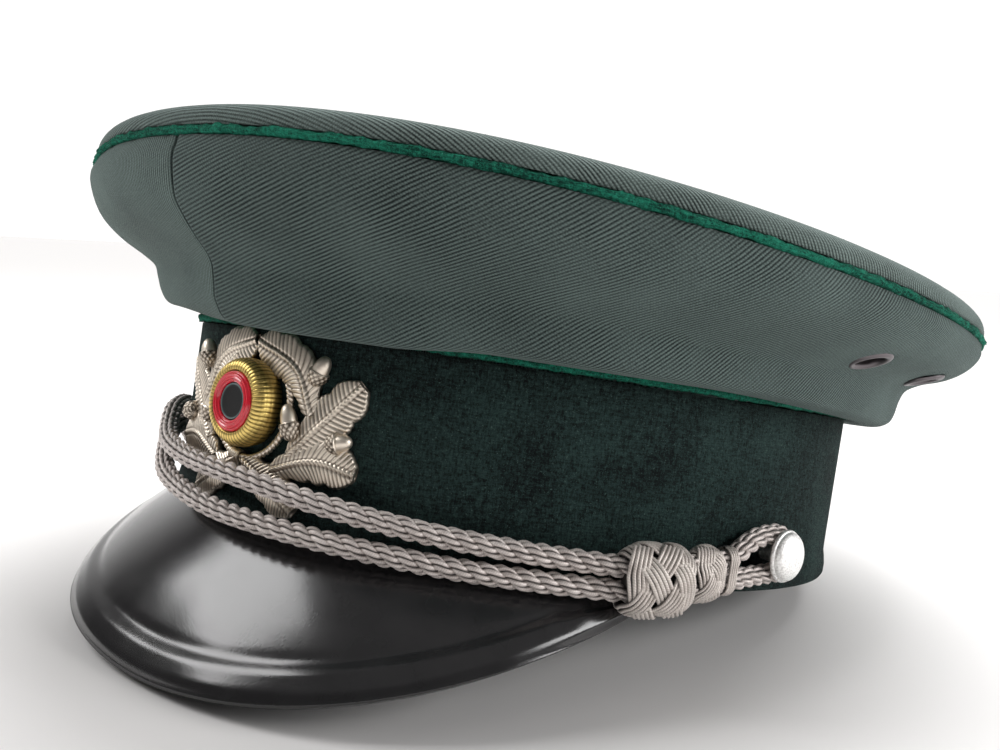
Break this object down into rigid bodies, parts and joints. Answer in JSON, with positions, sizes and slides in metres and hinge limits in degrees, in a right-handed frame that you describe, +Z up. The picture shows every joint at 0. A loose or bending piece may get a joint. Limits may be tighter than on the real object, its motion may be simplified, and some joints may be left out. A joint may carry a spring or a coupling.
{
  "type": "peaked cap",
  "caption": "Officer-style peaked cap: cloth band and wide crown with piping, glossy peak, metal oak wreath with cockade, braided chin cords with slide knots, side buttons and vent eyelets.",
  "frame": {"origin": "on the surface that the cap rests on, under the middle of its box measured without the cords and knots", "axes": "+Z up from that surface, -Y to the front where the peak is, +X to the wearer's left; the cap rests on the peak's tip and on the back of the band's foot, so it leans back by 8.7 degrees"},
  "size_m": [0.2452, 0.268, 0.1211],
  "materials": {
    "melton": "fuzzy milled wool",
    "twill": "diagonal wool twill",
    "piping_felt": "wool felt",
    "lacquer": "semi-gloss black",
    "wreath_metal": "stamped, warm silver",
    "button_metal": "pebbled, bright silver",
    "gilt": "ribbed, aged gilt",
    "red_enamel": "gloss",
    "black_enamel": "satin",
    "braid": "braided silvery yarn",
    "dark_metal": "satin"
  },
  "bodies": {
    "root": {"band": "melton", "peak": "lacquer", "band_piping": "piping_felt", "crown_piping": "piping_felt", "crown_top": "twill", "crown_side_left": "twill", "crown_side_right": "twill", "eyelet_left_front": "dark_metal", "eyelet_left_back": "dark_metal", "eyelet_right_front": "dark_metal", "eyelet_right_back": "dark_metal", "button_left": "button_metal", "button_right": "button_metal", "wreath": "wreath_metal", "cockade_rim": "gilt", "cockade_ring": "red_enamel", "cockade_centre": "black_enamel", "chin_cord_upper": "braid", "chin_cord_lower": "braid", "knot_large_left": "braid", "knot_small_left": "braid", "knot_large_right": "braid", "knot_small_right": "braid"}
  },
  "joints": []
}
